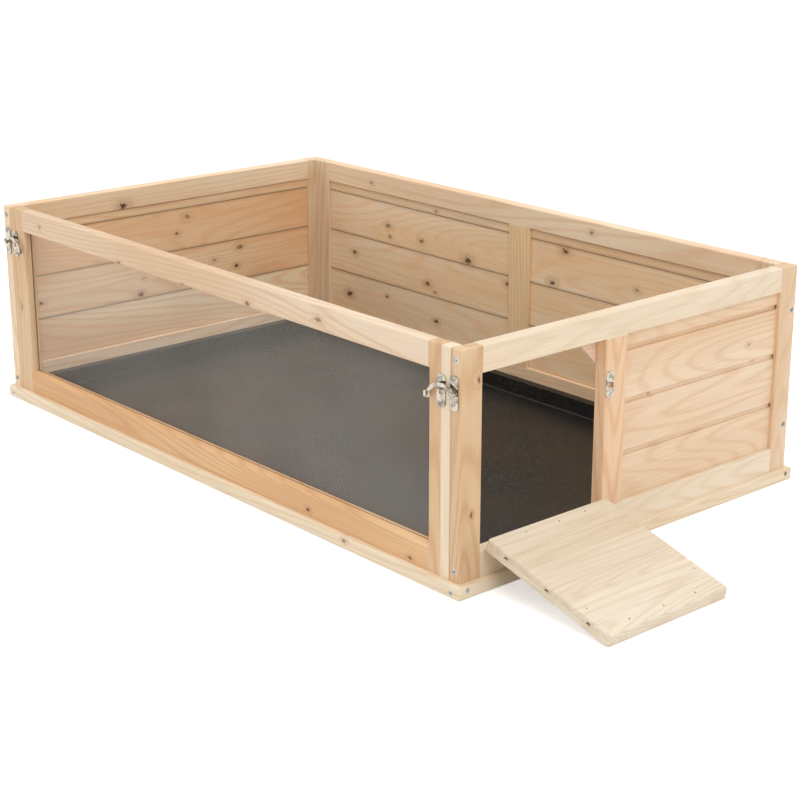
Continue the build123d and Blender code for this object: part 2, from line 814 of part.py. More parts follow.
def hinge_leaf(side):
    """Leaf with its knuckles about a pin at the origin, on the outer face beside it."""
    half = hinge_width / 2
    clear = hinge_offset + knuckle_play
    sheet_w = (hinge_offset - hinge_leaf_thickness, hinge_offset)
    body = block((-half, half), sheet_w, tuple(sorted((side * clear, side * hinge_leaf_height))))
    for span in knuckle_spans(side):
        tab = block(span, sheet_w, tuple(sorted((0, side * clear))))
        barrel = Pos(span[0], 0, 0) * extrude(Plane.YZ * Circle(knuckle_radius), amount=span[1] - span[0])
        body = body + tab + barrel
    bore = extrude(Plane.YZ * Circle(hinge_pin_radius + hinge_bore_play), amount=half + 1, both=True)
    return body - bore


def hinge_leaves(side):
    """Both leaves on one side of the hinge line, bored for their screws."""
    holes = drilled(hinge_screw, hinge_screw_places(side))
    return [Pos(middle, -hinge_offset, hinge_z) * hinge_leaf(side) - holes for middle in hinge_middles]


def hinge_pins():
    pin = extrude(Plane.YZ * Circle(hinge_pin_radius), amount=hinge_width / 2, both=True)
    return [Pos(middle, -hinge_offset, hinge_z) * pin for middle in hinge_middles]


def make_door():
    holes = drilled(hinge_screw, hinge_screw_places(1))
    holes += plate_holes(door_pivot_u, door_latch_height, plate_screw_spacing)
    form = door_form()
    for name, batten in door_battens().items():
        write(name, door_place * ((batten & form) - holes))
    span = (door_u[0] + board_end_setback, door_u[1] - board_end_setback)
    boards = boarding(span, (door_foot, door_top), door_top - board_pitch / 2, batten_thickness)
    cut_form = door_form(board_end_setback)
    write("door_boards", *[door_place * ((piece & cut_form) - holes) for piece in boards])
    write("door_hinge_leaves", *[door_place * leaf for leaf in hinge_leaves(1)])
    write("frame_hinge_leaves", *[right_wall * leaf for leaf in hinge_leaves(-1)])
    write("hinge_pins", *[right_wall * pin for pin in hinge_pins()])
    write("door_hinge_screws", *[door_place * piece for piece in driven(hinge_screw, hinge_screw_places(1))])
    write("frame_hinge_screws", *[right_wall * piece for piece in driven(hinge_screw, hinge_screw_places(-1))])
    write("door_hook_plate", *[door_place * piece for piece in pivot_plate(door_pivot_u, door_latch_height)])
    parked = Pos(door_pivot_u, 0, door_latch_height) * Rot(0, 180, 0) * hook(1)
    write("door_hook", door_place * parked)
    screws = plate_screws(door_pivot_u, door_latch_height, plate_screw_spacing)
    write("door_latch_screws", *[door_place * piece for piece in screws])


def make_wall_screws():
    write("wall_screws", *driven(frame_screw, frame_screw_places()), *driven(wall_screw, rear_screw_places()))


def show_sizes():
    """Print the places and angles that the joints turn on."""
    pivot = door_place * Pos(door_pivot_u, 0, door_latch_height) * Vertex(0, 0, 0)
    outward = door_place * Pos(door_pivot_u, -1, door_latch_height) * Vertex(0, 0, 0)
    print("hinge line at X", hinge_x, "Z", hinge_z)
    print("door opens", round(open_angle, 3), "and leans", round(lean_angle, 3), "degrees")
    print("door hook pivot", pivot.center(), "outward", outward.center() - pivot.center())
    print("stop block bottom", stop_bottom, "tray rim", tray_rim_top)


os.makedirs("parts", exist_ok=True)
make_base()
make_wall_screws()
make_left_end()
make_right_end()
make_rear_wall()
make_front_panel()
make_tray()
make_latches()
make_door()
show_sizes()
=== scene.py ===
"""Indoor rabbit enclosure: finishes, ramp brads, studio and camera, as an add-on."""
import math

import bpy
from bpy.props import (FloatProperty, FloatVectorProperty, IntProperty, PointerProperty,
                       StringProperty)
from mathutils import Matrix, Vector


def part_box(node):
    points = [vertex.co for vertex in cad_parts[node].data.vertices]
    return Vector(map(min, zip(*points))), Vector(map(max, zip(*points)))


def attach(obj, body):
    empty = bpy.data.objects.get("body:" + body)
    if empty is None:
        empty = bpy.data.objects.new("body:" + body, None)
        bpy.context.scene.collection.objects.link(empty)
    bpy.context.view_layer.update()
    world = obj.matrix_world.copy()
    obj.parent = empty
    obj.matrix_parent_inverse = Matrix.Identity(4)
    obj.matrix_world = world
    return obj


bl_info = {
    "name": "Rabbit Enclosure Finishes",
    "version": (1, 0),
    "blender": (4, 5, 0),
    "location": "View3D > Sidebar > Enclosure",
    "description": "Timber, plated metal, tray and studio for an indoor rabbit enclosure",
    "category": "Object",
}

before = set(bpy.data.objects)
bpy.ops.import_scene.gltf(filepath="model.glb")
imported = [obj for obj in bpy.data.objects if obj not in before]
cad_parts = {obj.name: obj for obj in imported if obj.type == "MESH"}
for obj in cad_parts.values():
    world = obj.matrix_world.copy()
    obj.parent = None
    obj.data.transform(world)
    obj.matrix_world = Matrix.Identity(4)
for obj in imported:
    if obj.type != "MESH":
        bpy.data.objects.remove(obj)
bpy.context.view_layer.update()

MM = 0.001

# Pitch of the boards, height of the lowest channel on the outer faces of the walls, and
# height of the lowest joint on their inner faces
BOARD_PITCH = 66 * MM
FIRST_CHANNEL = 42 * MM
INNER_JOINT = 48.15 * MM

# The ramp when it is down
RAMP_TILT = math.radians(15.414)
RAMP_THICKNESS = 18 * MM
HINGE_X = 497 * MM
HINGE_Z = 50 * MM

# The pale and the warm colour of each kind of timber. The inner rails and the rear and left boards
# are paler than their timber: painted light that makes up for the shade inside the walls
POSTS = ("#F2D9B9", "#DDAF7E")
NEAR_POST = ("#E3C49E", "#C59363")
FAR_POST = ("#F0D8BB", "#DCB48B")
DOORWAY_POST = ("#EEC9A4", "#D9A273")
REAR_MID_STILE = ("#FCDEB0", "#E4B078")
# Painted light: paler than the timber, for the shade inside the walls
INNER_RAILS_WITH_PAINTED_LIGHT = ("#FCE3C2", "#E9BB8D")
END_RAILS = ("#F2E2CB", "#E3CAA8")
STOP_BLOCK = ("#F1D9C2", "#DDBB9C")
PANEL_LEFT = ("#E8CCA8", "#CA9A68")
PANEL_RIGHT = ("#E8C8A0", "#CB9A6A")
PANEL_TOP = ("#EFD9BE", "#D5AB81")
PANEL_BOTTOM = ("#ECC596", "#CD9560")
BASE = ("#F3E3CA", "#DFBF92")
# Painted light in the next two: the inner faces are paler than the timber, for the shade inside the
# walls
REAR_BOARDS_WITH_PAINTED_LIGHT = ("#FFEDD0", "#F6C48D")
LEFT_BOARDS_WITH_PAINTED_LIGHT = ("#FFE7C2", "#EFB47E")
END_BOARDS = ("#F3DCC0", "#DFB68C")
RAMP = ("#E9DBC6", "#D4BE9E")

# Sub-parts of timber: the axis that the grain runs along, and the two colours
TIMBER = {
    "left_post_front": ("Z", POSTS),
    "left_post_rear": ("Z", POSTS),
    "right_post_front": ("Z", NEAR_POST),
    "right_post_rear": ("Z", FAR_POST),
    "right_mid_post": ("Z", DOORWAY_POST),
    "rear_stile_left": ("Z", POSTS),
    "rear_stile_right": ("Z", POSTS),
    "rear_mid_stile": ("Z", REAR_MID_STILE),
    "rear_rail_top": ("X", INNER_RAILS_WITH_PAINTED_LIGHT),
    "rear_rail_bottom": ("X", INNER_RAILS_WITH_PAINTED_LIGHT),
    "left_rail_top": ("Y", INNER_RAILS_WITH_PAINTED_LIGHT),
    "left_rail_bottom": ("Y", INNER_RAILS_WITH_PAINTED_LIGHT),
    "right_rail_top": ("Y", END_RAILS),
    "right_rail_bottom": ("Y", END_RAILS),
    "stop_block": ("Y", STOP_BLOCK),
    "front_stile_left": ("Z", PANEL_LEFT),
    "front_stile_right": ("Z", PANEL_RIGHT),
    "front_rail_top": ("X", PANEL_TOP),
    "front_rail_bottom": ("X", PANEL_BOTTOM),
    "base_rail_front": ("X", BASE),
    "base_rail_rear": ("X", BASE),
    "base_rail_left": ("Y", BASE),
    "base_rail_right": ("Y", BASE),
    "floor_batten": ("Y", BASE),
    "panel_dowels": ("Z", BASE),
    "left_boards": ("Y", LEFT_BOARDS_WITH_PAINTED_LIGHT),
    "right_boards": ("Y", END_BOARDS),
    "rear_left_boards": ("X", REAR_BOARDS_WITH_PAINTED_LIGHT),
    "rear_right_boards": ("X", REAR_BOARDS_WITH_PAINTED_LIGHT),
    "door_boards": ("Y", RAMP),
    "door_batten_front": ("X", RAMP),
    "door_batten_rear": ("X", RAMP),
    "door_batten_foot": ("Y", RAMP),
    "door_batten_tip": ("Y", RAMP),
}

# Wall boards: the axis through the wall, how far out from the middle the inner half ends,
# and how warm each board is, from the lowest up
WALL_BOARDS = {
    "left_boards": ("X", 483 * MM, (0.0, 0.45, 0.95, 0.3)),
    "right_boards": ("X", 483 * MM, (0.45, 0.1, 0.15, 0.35)),
    "rear_left_boards": ("Y", 283 * MM, (0.7, 0.4, 0.25, 0.8)),
    "rear_right_boards": ("Y", 283 * MM, (0.5, 0.5, 0.4, 0.8)),
}

# Knots: the axis that they go through the timber along, then for each its place across
# that axis, its height and its radius, all in millimetres, and how dark it is
NO_KNOTS = ("Y", ())
KNOTS = {
    "left_rail_top": ("X", ((-98, 266, 5.5, 0.95),)),
    "left_boards": ("X", (
        (21, 231, 4.0, 0.55), (0, 207, 2.6, 0.7), (121, 167, 4.2, 0.6), (114, 137, 2.8, 0.95),
        (71, 153, 3.0, 0.45), (-71, 121, 3.8, 0.9), (-65, 146, 2.4, 0.35), (-248, 138, 2.6, 0.8),
    )),
    "right_boards": ("X", ((210, 200, 2.2, 0.5), (221, 177, 2.2, 0.35), (25, 174, 2.0, 0.45))),
    "rear_left_boards": ("Y", (
        (-295, 210, 4.2, 0.6), (-290, 193, 2.6, 0.55), (-215, 199, 3.4, 0.6), (-378, 151, 3.2, 0.9),
        (-392, 79, 4.6, 0.95), (-297, 93, 2.4, 0.8), (-200, 133, 3.8, 0.85), (-183, 122, 3.0, 0.5),
        (-109, 187, 5.5, 0.9), (-179, 76, 3.6, 0.8), (-20, 168, 3.4, 0.85), (-180, 252, 2.4, 0.6),
    )),
    "rear_right_boards": ("Y", (
        (96, 239, 4.4, 0.85), (72, 188, 4.0, 0.85), (235, 209, 3.0, 0.6), (330, 120, 3.5, 0.8),
    )),
    "front_rail_top": ("Y", (
        (-391, 276, 2.8, 0.4), (-187, 262, 2.4, 0.85), (-37, 261, 2.0, 0.9), (104, 265, 3.0, 0.8),
        (244, 274, 3.6, 0.6),
    )),
    "front_rail_bottom": ("Y", ((219, 26, 2.6, 0.9), (409, 23, 2.4, 0.8))),
    "front_stile_left": ("Y", ((-455, 146, 3.4, 0.4),)),
    "base_rail_front": ("Y", ((297, 11, 2.6, 0.7),)),
    "right_post_front": ("X", ((-267, 254, 2.4, 0.85), (-276, 97, 2.4, 0.8))),
    "left_post_front": ("X", ((-280, 170, 2.6, 0.7),)),
    "rear_rail_top": ("Y", ((150, 276, 2.8, 0.6), (-330, 274, 2.6, 0.5))),
}

# Colours that all the timber shares
KNOT_HEART = "#4F3220"
KNOT_COLLAR = "#B27848"
JOINT_SHADE = "#7A5230"
# Pale colour of the painted highlight on a rounded edge
STILE_EDGE_HIGHLIGHT = "#F5E4C8"

# A painted highlight on the rounded edge of the front panel's right stile: pale past this place,
# fading in over 3 mm
HIGHLIGHT_EDGE = 461 * MM
HIGHLIGHT_FADE = (-2 * MM, 1 * MM)

# Noises of the timber: repeats in a metre along the grain and across it, detail, roughness
GRAIN_NOISES = {
    "growth": (0.9, 8.0, 1.5, 0.4),
    "fibre": (12.0, 560.0, 3.0, 0.65),
    "patch": (1.6, 10.0, 2.0, 0.5),
}
STRAY_CELLS = (5.0, 14.0)

# How many growth lines one unit of the growth noise holds, how far a knot bends them, and
# where in the way from one line to the next the latewood starts
GROWTH_LINES = 80.0
BOARD_GROWTH_LINES = 84.0
KNOT_BEND = 0.035
LATEWOOD_START = 0.40

# How far the warm colour comes in: in patches, latewood and warm boards
PATCH_WARMTH = 0.62
LATEWOOD_WARMTH = 0.46
BOARD_WARMTH = 0.52

# Brightness of the fibre's dark and light streaks, and strength of collars and of the painted
# highlight
FIBRE_STREAKS = (0.935, 1.03)
COLLAR_STRENGTH = 0.42
HIGHLIGHT_STRENGTH = 0.8

# How far apart in the pattern the pieces are cut, and the boards of one piece
PIECE_SHIFT = (1.7, 2.3, 0.9)
BOARD_SHIFT = 3.7
PLYWOOD_SEED = 90.0

# Shades at a board joint: how far off it they start and end to fade, and how strong
JOINT_LINE = (0.45 * MM, 1.3 * MM, 0.72)
JOINT_SHOULDER = (1.0 * MM, 5 * MM, 0.22)

# Knots: where the heart and the collar fade, in radii of the knot, how much shorter it
# counts along the grain, and the noise that makes its edge uneven, a lump every 4 mm
HEART_FADE = (0.45, 1.05)
COLLAR_FADE = (0.6, 3.4)
KNOT_STRETCH = 0.62
KNOT_LUMPS = 260.0
KNOT_WOBBLE = 0.28

# Stray knots: where the heart and the collar fade, in cells, and how strong they are
STRAY_HEART = (0.022, 0.045, 0.8)
STRAY_COLLAR = (0.03, 0.16, 0.7)

LATCH_METAL = (
    "left_hook_plate", "left_hook", "left_catch", "right_hook_plate", "right_hook",
    "right_catch", "door_hook_plate", "door_hook", "door_catch",
)
HINGE_METAL = ("door_hinge_leaves", "frame_hinge_leaves", "hinge_pins")
SCREWS = (
    "base_screws", "wall_screws", "latch_screws", "catch_screws", "door_catch_screws",
    "door_latch_screws", "door_hinge_screws", "frame_hinge_screws",
)

# Two tones of the pale veil on the pane, part dust and part painted reflection, and of the studio
# paper
PANE_DUST_AND_REFLECTION = ("#CFC8BE", "#E9E4DB")
PAPER = ("#F1F0EE", "#F6F5F3")

# Duller colour of each plating, where it is cloudy, and the roughness of the plainer ones; on the
# latches the duller colour is also a painted brownish reflection
NICKEL_CLOUD_AND_REFLECTION = "#7A7266"
HINGE_CLOUD = "#9C9684"
SCREW_CLOUD = "#84857F"
BRAD_CLOUD = "#8F846F"
HINGE_ROUGHNESS = 0.34
SCREW_ROUGHNESS = 0.32
BRAD_ROUGHNESS = 0.45

# Brads in the ramp: millimetres down the slope and in from its front edge
RAMP_BRADS = (
    (10, 52), (11, 105), (10, 149), (153, 185), (186, 97), (185, 43), (149, 12), (186, 150),
)

# A brad's crown and the dimple in it: inset in radii and rise in heights of the head
BRAD_CROWN = (0.22, 0.35)
BRAD_DIMPLE = (0.45, -0.2)
SMOOTH_ANGLE = math.radians(40)

# Lamps, in metres: name, place, diameter and share of the key light's power
LAMPS = (
    ("key_lamp", (4.6, -1.8, 3.8), 3.2, 1.0),
    ("top_lamp", (-0.6, 0.0, 5.6), 4.8, 1.2),
    ("left_lamp", (-4.2, -4.0, 3.2), 3.6, 0.60),
    ("back_lamp", (1.6, 5.2, 4.0), 4.0, 0.5),
)

# The floor in metres, with the glow that makes it near white, and the camera's sensor in
# millimetres with the distance that it sees to
FLOOR_SIZE = 14
FLOOR_DROP = 0.2 * MM
FLOOR_GLOW = 0.50
SENSOR_WIDTH = 36
CLIP_END = 60

# Kinds of node that the finishes use most. Where the names of sockets repeat, they go by
# number: 0 to 2 in a sum, 0 for the value, 1 and 2 for from and 3 and 4 for to in a range,
# and 0 for the factor, 6 and 7 for the colours in a colour mix, whose outcome is 2.
MATH = "ShaderNodeMath"
VECTOR = "ShaderNodeVectorMath"
RANGE = "ShaderNodeMapRange"
NOISE = "ShaderNodeTexNoise"
MIX = "ShaderNodeMix"
BUMP = "ShaderNodeBump"
SMOOTH = {"interpolation_type": "SMOOTHSTEP"}
COLOUR = {"data_type": "RGBA"}
MIXED = 2


# Nodes and colours


def linear(code):
    """Linear colour of an sRGB hex value."""
    channels = [int(code[i:i + 2], 16) / 255 for i in (1, 3, 5)]
    curve = [c / 12.92 if c <= 0.04045 else ((c + 0.055) / 1.055) ** 2.4 for c in channels]
    return (*curve, 1.0)


def add_node(tree, kind, inputs=None, **settings):
    """Add a node with its settings. Each input is a value, a socket to link, or a node,
    which then stands for its first output."""
    node = tree.nodes.new(kind)
    for name, value in settings.items():
        setattr(node, name, value)
    for key, value in (inputs or {}).items():
        if isinstance(value, bpy.types.Node):
            value = value.outputs[0]
        if isinstance(value, bpy.types.NodeSocket):
            tree.links.new(value, node.inputs[key])
        else:
            node.inputs[key].default_value = value
    return node


def new_material(name, **surface):
    """Material with one surface shader, its values given by socket name, and the Object
    coordinates that its patterns are drawn on."""
    material = bpy.data.materials.new(name)
    material.use_nodes = True
    tree = material.node_tree
    tree.nodes.clear()
    values = {key.replace("_", " "): value for key, value in surface.items()}
    shader = add_node(tree, "ShaderNodeBsdfPrincipled", values)
    add_node(tree, "ShaderNodeOutputMaterial", {"Surface": shader})
    place = add_node(tree, "ShaderNodeTexCoord").outputs["Object"]
    return material, tree, shader, place


# Timber


def along_grain(grain, lengthwise, crosswise):
    """Scale on the three axes of a pattern that is drawn out along the grain."""
    return tuple(lengthwise if axis == grain else crosswise for axis in "XYZ")


def count_boards(tree, axes, boards, wall):
    """Number of the board that a point is in, and the shade of a joint near it."""
    axis, start, pitch = boards
    along = axes.outputs[axis]
    joint = None
    if wall:
        # The joints lie higher on the inner face than the channels do outside
        through, limit, _ = wall
        depth = add_node(tree, MATH, {0: axes.outputs[through]}, operation="ABSOLUTE")
        inner = add_node(tree, MATH, {0: depth, 1: limit}, operation="LESS_THAN")
        off = add_node(tree, MATH, {0: along, 1: INNER_JOINT}, operation="SUBTRACT")
        off = add_node(tree, MATH, {0: off, 1: pitch / 2}, operation="PINGPONG")
        joint = 0.0
        for near, far, strength in (JOINT_LINE, JOINT_SHOULDER):
            shade = add_node(tree, RANGE, {0: off, 1: near, 2: far, 3: strength, 4: 0.0}, **SMOOTH)
            shade = add_node(tree, MATH, {0: shade, 1: inner}, operation="MULTIPLY")
            joint = add_node(tree, MATH, {0: joint, 1: shade}, operation="MAXIMUM")
        lift = add_node(tree, MATH, {0: inner, 1: INNER_JOINT - start}, operation="MULTIPLY")
        along = add_node(tree, MATH, {0: along, 1: lift}, operation="SUBTRACT")
    count = add_node(tree, MATH, {0: along, 1: start}, operation="SUBTRACT")
    count = add_node(tree, MATH, {0: count, 1: pitch}, operation="DIVIDE")
    return add_node(tree, MATH, {0: count}, operation="FLOOR"), joint


def board_warmth(tree, count, wall, seed):
    """How warm each board is: as listed for a wall, and otherwise by chance."""
    if not wall:
        draw = add_node(tree, MATH, {0: count, 1: seed}, operation="ADD")
        return add_node(tree, "ShaderNodeTexWhiteNoise", {"W": draw}, noise_dimensions="1D")
    warmth = 0.0
    for index, share in enumerate(wall[2]):
        this = add_node(tree, MATH, {0: count, 1: index, 2: 0.5}, operation="COMPARE")
        warmth = add_node(tree, MATH, {0: this, 1: share, 2: warmth}, operation="MULTIPLY_ADD")
    return warmth


def placed_knots(tree, place, grain, knots):
    """Dark hearts and warm collars of the listed knots, drawn out a little along the grain."""
    wobble = add_node(tree, NOISE, {"Vector": place, "Scale": KNOT_LUMPS, "Detail": 2.0})
    wobble = add_node(
        tree, RANGE, {0: wobble, 1: 0.3, 2: 0.7, 3: -KNOT_WOBBLE, 4: KNOT_WOBBLE}, **SMOOTH)
    heart = collar = 0.0
    through, spots = knots
    for across, height, radius, dark in spots:
        centre = tuple({"Z": height * MM, through: 0.0}.get(axis, across * MM) for axis in "XYZ")
        reach = along_grain(grain, KNOT_STRETCH / (radius * MM), 1 / (radius * MM))
        reach = tuple(0.0 if axis == through else share for axis, share in zip("XYZ", reach))
        away = add_node(tree, VECTOR, {0: place, 1: centre}, operation="SUBTRACT")
        away = add_node(tree, VECTOR, {0: away, 1: reach}, operation="MULTIPLY")
        away = add_node(tree, VECTOR, {0: away}, operation="LENGTH").outputs["Value"]
        away = add_node(tree, MATH, {0: away, 1: wobble}, operation="ADD")
        near, far = HEART_FADE
        spot = add_node(tree, RANGE, {0: away, 1: near, 2: far, 3: dark, 4: 0.0}, **SMOOTH)
        heart = add_node(tree, MATH, {0: heart, 1: spot}, operation="MAXIMUM")
        near, far = COLLAR_FADE
        ring = add_node(tree, RANGE, {0: away, 1: near, 2: far, 3: dark, 4: 0.0}, **SMOOTH)
        collar = add_node(tree, MATH, {0: collar, 1: ring}, operation="MAXIMUM")
    return heart, collar


def stray_knots(tree, shifted, grain, share, heart, collar):
    """Add pin knots by chance, in that share of the cells of a pattern."""
    at = add_node(tree, "ShaderNodeMapping",
                  {"Vector": shifted, "Scale": along_grain(grain, *STRAY_CELLS)})
    cell = add_node(tree, "ShaderNodeTexVoronoi", {"Vector": at, "Scale": 1.0, "Randomness": 1.0})
    draw = add_node(tree, "ShaderNodeSeparateColor", {0: cell.outputs["Color"]})
    kept = add_node(tree, MATH, {0: draw, 1: share}, operation="LESS_THAN")
    marks = []
    for mark, (near, far, strength) in ((heart, STRAY_HEART), (collar, STRAY_COLLAR)):
        spot = add_node(tree, RANGE, {0: cell.outputs["Distance"], 1: near, 2: far, 3: strength,
                                      4: 0.0}, **SMOOTH)
        spot = add_node(tree, MATH, {0: spot, 1: kept}, operation="MULTIPLY")
        marks.append(add_node(tree, MATH, {0: mark, 1: spot}, operation="MAXIMUM"))
    return marks


def planed_fir(name, grain, tones, seed=0.0, boards=None, wall=None, knots=NO_KNOTS, stray=0.0,
               lines=GROWTH_LINES, sap=None):
    """Planed softwood, oiled: pale earlywood, thin latewood lines, fine fibre and knots.

    The growth lines are contours of a field drawn out along the grain, so they close into
    the flames and ovals of flat-sawn boards and bend round the knots.
    """
    material, tree, shader, place = new_material(name, Roughness=0.54, IOR=1.45)
    pale, warm = (linear(code) for code in tones)
    axes = add_node(tree, "ShaderNodeSeparateXYZ", {0: place})

    # Each piece, and each board in it, is cut from another place in the pattern
    shifted = add_node(tree, VECTOR, {0: place, 1: [seed * way for way in PIECE_SHIFT]},
                       operation="ADD")
    joint = warmth = None
    if boards:
        count, joint = count_boards(tree, axes, boards, wall)
        warmth = board_warmth(tree, count, wall, seed)
        aside = add_node(tree, MATH, {0: count, 1: BOARD_SHIFT}, operation="MULTIPLY")
        aside = add_node(tree, "ShaderNodeCombineXYZ", {0: aside, 1: aside, 2: aside})
        shifted = add_node(tree, VECTOR, {0: shifted, 1: aside}, operation="ADD")

    heart, collar = placed_knots(tree, place, grain, knots)
    if stray:
        heart, collar = stray_knots(tree, shifted, grain, stray, heart, collar)

    noise = {}
    for pattern, (lengthwise, crosswise, detail, rough) in GRAIN_NOISES.items():
        at = add_node(tree, "ShaderNodeMapping",
                      {"Vector": shifted, "Scale": along_grain(grain, lengthwise, crosswise)})
        noise[pattern] = add_node(
            tree, NOISE, {"Vector": at, "Scale": 1.0, "Detail": detail, "Roughness": rough})

    # Growth lines, 4 to 7 mm apart
    bend = add_node(tree, MATH, {0: collar, 1: KNOT_BEND}, operation="MULTIPLY")
    field = add_node(tree, MATH, {0: noise["growth"], 1: bend}, operation="ADD")
    field = add_node(tree, MATH, {0: field, 1: lines}, operation="MULTIPLY")
    wave = add_node(tree, MATH, {0: field, 1: 1.0}, operation="PINGPONG")
    late = add_node(tree, RANGE, {0: wave, 1: LATEWOOD_START, 2: 1.0, 3: 0.0, 4: 1.0}, **SMOOTH)

    # From pale to warm: in broad patches, in the latewood, and by board
    share = add_node(
        tree, RANGE, {0: noise["patch"], 1: 0.34, 2: 0.68, 3: 0.0, 4: PATCH_WARMTH}, **SMOOTH)
    colour = add_node(tree, MIX, {0: share, 6: pale, 7: warm}, **COLOUR).outputs[MIXED]
    share = add_node(tree, MATH, {0: late, 1: LATEWOOD_WARMTH}, operation="MULTIPLY")
    colour = add_node(tree, MIX, {0: share, 6: colour, 7: warm}, **COLOUR).outputs[MIXED]
    if warmth is not None:
        share = add_node(tree, MATH, {0: warmth, 1: BOARD_WARMTH}, operation="MULTIPLY")
        colour = add_node(tree, MIX, {0: share, 6: colour, 7: warm}, **COLOUR).outputs[MIXED]
    # Painted highlight: the rounded edge turns pale past a place across the piece
    if sap:
        axis, edge = sap
        start, end = HIGHLIGHT_FADE
        share = add_node(tree, RANGE, {0: axes.outputs[axis], 1: edge + start, 2: edge + end,
                                       3: 0.0, 4: HIGHLIGHT_STRENGTH}, **SMOOTH)
        colour = add_node(tree, MIX, {0: share, 6: colour, 7: linear(STILE_EDGE_HIGHLIGHT)},
                          **COLOUR).outputs[MIXED]

    # The fibre darkens and lightens it in streaks 2 mm apart
    dark, light = FIBRE_STREAKS
    streak = add_node(
        tree, RANGE, {0: noise["fibre"], 1: 0.34, 2: 0.66, 3: dark, 4: light}, **SMOOTH)
    streak = add_node(tree, "ShaderNodeCombineColor", {0: streak, 1: streak, 2: streak})
    colour = add_node(tree, MIX, {0: 1.0, 6: colour, 7: streak}, blend_type="MULTIPLY",
                      **COLOUR).outputs[MIXED]

    share = add_node(tree, MATH, {0: collar, 1: COLLAR_STRENGTH}, operation="MULTIPLY")
    colour = add_node(tree, MIX, {0: share, 6: colour, 7: linear(KNOT_COLLAR)},
                      **COLOUR).outputs[MIXED]
    colour = add_node(tree, MIX, {0: heart, 6: colour, 7: linear(KNOT_HEART)},
                      **COLOUR).outputs[MIXED]
    if joint is not None:
        colour = add_node(tree, MIX, {0: joint, 6: colour, 7: linear(JOINT_SHADE)},
                          **COLOUR).outputs[MIXED]
    tree.links.new(colour, shader.inputs["Base Color"])

    # Latewood and fibre stand up a little from the planed face
    relief = add_node(tree, MATH, {0: late, 1: 0.4}, operation="MULTIPLY")
    relief = add_node(tree, MATH, {0: noise["fibre"], 1: 0.6, 2: relief}, operation="MULTIPLY_ADD")
    bump = add_node(tree, BUMP, {"Height": relief, "Strength": 0.16, "Distance": 0.6 * MM})
    tree.links.new(bump.outputs[0], shader.inputs["Normal"])
    return material


# Other finishes


def moulded_tray_plastic(plastic, dust):
    """Black polypropylene with a fine mould grain: dull, with pale dust caught in the grain."""
    material, tree, shader, place = new_material(
        "moulded_polypropylene", Roughness=0.42, IOR=1.49, Specular_IOR_Level=0.36)
    # Grain drawn at 2.5 mm, coarser than real, so that it shows
    pebble = add_node(tree, NOISE, {"Vector": place, "Scale": 1 / (2.5 * MM), "Detail": 2.0,
                                    "Roughness": 0.7})
    cloud = add_node(tree, NOISE, {"Vector": place, "Scale": 6.0, "Detail": 5.0})
    worn = add_node(tree, RANGE, {0: cloud, 1: 0.32, 2: 0.68, 3: 0.25, 4: 1.0}, **SMOOTH)
    speck = add_node(tree, RANGE, {0: pebble, 1: 0.54, 2: 0.68, 3: 0.0, 4: 1.0}, **SMOOTH)
    speck = add_node(tree, MATH, {0: speck, 1: worn}, operation="MULTIPLY")
    colour = add_node(tree, MIX, {0: speck, 6: linear(plastic), 7: linear(dust)}, **COLOUR)
    tree.links.new(colour.outputs[MIXED], shader.inputs["Base Color"])
    rough = add_node(tree, RANGE, {0: cloud, 1: 0.3, 2: 0.7, 3: 0.34, 4: 0.50}, **SMOOTH)
    tree.links.new(rough.outputs[0], shader.inputs["Roughness"])
    bump = add_node(tree, BUMP, {"Height": pebble, "Strength": 0.35, "Distance": 0.6 * MM})
    tree.links.new(bump.outputs[0], shader.inputs["Normal"])
    return material


def clear_acrylic(veil):
    """Thin clear acrylic sheet, with a slight pale veil that is dust and a painted reflection of
    the room.
    """
    material, tree, shader, place = new_material(
        "clear_acrylic", Roughness=0.12, IOR=1.49, Alpha=veil)
    haze = add_node(tree, NOISE, {"Vector": place, "Scale": 5.0, "Detail": 3.0})
    haze = add_node(tree, RANGE, {0: haze, 1: 0.3, 2: 0.7, 3: 0.0, 4: 1.0}, **SMOOTH)
    # The veil's two tones are dust and painted reflection
    first, second = (linear(code) for code in PANE_DUST_AND_REFLECTION)
    colour = add_node(tree, MIX, {0: haze, 6: first, 7: second}, **COLOUR)
    tree.links.new(colour.outputs[MIXED], shader.inputs["Base Color"])
    return material


def plated_metal(name, bright, dull_cloud_and_reflection, roughness):
    """Pressed steel with bright plating: smooth, with faint cloudy patches and handling marks. On
    the latches the patches also hold a painted brownish reflection.
    """
    material, tree, shader, place = new_material(name, Metallic=1.0, Roughness=roughness)
    # Clouds about 8 mm across, and marks about 1 mm apart
    cloud = add_node(tree, NOISE, {"Vector": place, "Scale": 120.0, "Detail": 1.0})
    share = add_node(tree, RANGE, {0: cloud, 1: 0.42, 2: 0.68, 3: 0.0, 4: 0.85}, **SMOOTH)
    # The dull patches are cloudy plating, and on the latches also painted reflection
    colour = add_node(tree, MIX, {0: share, 6: linear(bright), 7: linear(dull_cloud_and_reflection)}, **COLOUR)
    tree.links.new(colour.outputs[MIXED], shader.inputs["Base Color"])
    rough = add_node(
        tree, RANGE, {0: cloud, 1: 0.3, 2: 0.7, 3: roughness * 0.8, 4: roughness * 1.3}, **SMOOTH)
    tree.links.new(rough.outputs[0], shader.inputs["Roughness"])
    marks = add_node(tree, NOISE, {"Vector": place, "Scale": 900.0})
    bump = add_node(tree, BUMP, {"Height": marks, "Strength": 0.03, "Distance": 0.2 * MM})
    tree.links.new(bump.outputs[0], shader.inputs["Normal"])
    return material


